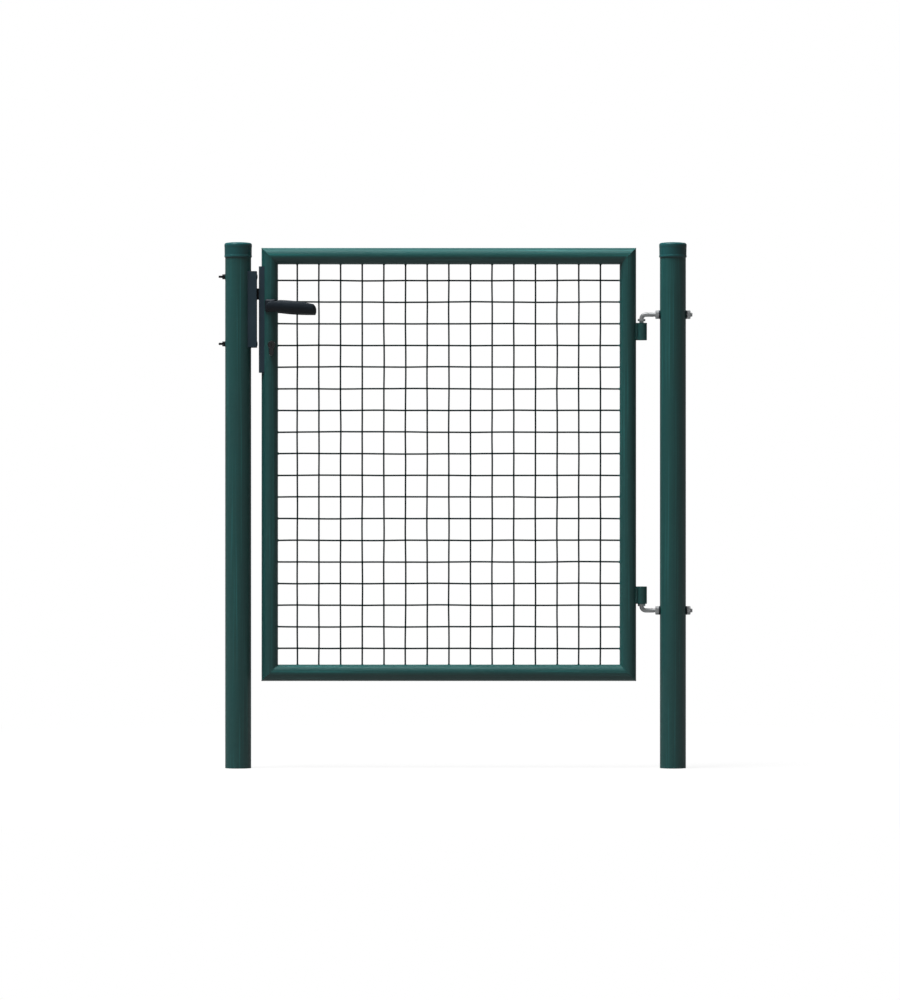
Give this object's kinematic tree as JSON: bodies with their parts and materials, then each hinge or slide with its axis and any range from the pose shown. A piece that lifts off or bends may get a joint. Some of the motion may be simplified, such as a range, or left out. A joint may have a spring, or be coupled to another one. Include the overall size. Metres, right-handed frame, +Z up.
{
  "type": "pedestrian gate",
  "caption": "Pedestrian gate: a green steel tube leaf filled with welded wire mesh, hung on bent hinge bolts between round posts, with a lever lock and a strike box.",
  "frame": {"origin": "centre of the hinge post's foot at ground level", "axes": "+Z up along the posts, -X from the hinge post to the latch post in the plane of the closed leaf, -Y towards the front"},
  "size_m": [1.094, 0.105, 1.2144],
  "materials": {
    "green_coat": "moss green powder coat, satin",
    "wire_coat": "moss green powder coat on welded wire",
    "green_plastic": "moulded, matt green",
    "slate_coat": "dark slate coating, matt",
    "black_coat": "blackened steel",
    "black_plastic": "moulded nylon, satin black",
    "zinc": "galvanised steel",
    "nickel": "satin nickel plate"
  },
  "bodies": {
    "posts": {"hinge_post": "green_coat", "hinge_post_cap": "green_plastic", "latch_post": "green_coat", "latch_post_cap": "green_plastic", "upper_hinge_bolt": "zinc", "upper_inner_washer": "black_plastic", "upper_inner_nut": "zinc", "upper_outer_washer": "black_plastic", "upper_outer_nut": "zinc", "upper_pin_collar": "zinc", "lower_hinge_bolt": "zinc", "lower_inner_washer": "black_plastic", "lower_inner_nut": "zinc", "lower_outer_washer": "black_plastic", "lower_outer_nut": "zinc", "lower_pin_collar": "zinc", "strike_box": "slate_coat", "upper_strike_bolt": "black_coat", "upper_strike_washer": "black_coat", "upper_strike_nut": "black_coat", "lower_strike_bolt": "black_coat", "lower_strike_washer": "black_coat", "lower_strike_nut": "black_coat"},
    "leaf": {"latch_stile": "green_coat", "hinge_stile": "green_coat", "top_rail": "green_coat", "bottom_rail": "green_coat", "mesh_panel": "wire_coat", "upper_hinge_barrel": "green_coat", "lower_hinge_barrel": "green_coat", "lock_forend": "slate_coat", "lock_case": "zinc", "dead_bolt": "zinc", "lock_cylinder": "nickel", "front_key_plug": "nickel", "back_key_plug": "nickel", "front_rose": "black_plastic", "back_rose": "black_plastic"},
    "lever": {"spindle": "zinc", "front_lever": "black_plastic", "back_lever": "black_plastic"},
    "latch": {"latch_bolt": "black_coat"}
  },
  "joints": [
    {"name": "leaf_swing", "type": "hinge", "parent": "posts", "child": "leaf", "pos_m": [-0.0725, 0, 0.364], "axis": [0, 0, 1], "range_deg": [-110, 110]},
    {"name": "lever_turn", "type": "hinge", "parent": "leaf", "child": "lever", "pos_m": [-0.9265, 0, 1.064], "axis": [0, 1, 0], "range_deg": [0, 40], "stiffness_Nm_per_rad": 1, "springref_deg": -28.65},
    {"name": "latch_slide", "type": "slide", "parent": "leaf", "child": "latch", "axis": [1, 0, 0], "range_m": [0, 0.012]}
  ],
  "couplings": [
    {"joint": "latch_slide", "follows": "lever_turn", "m_per_rad": 0.01718}
  ]
}
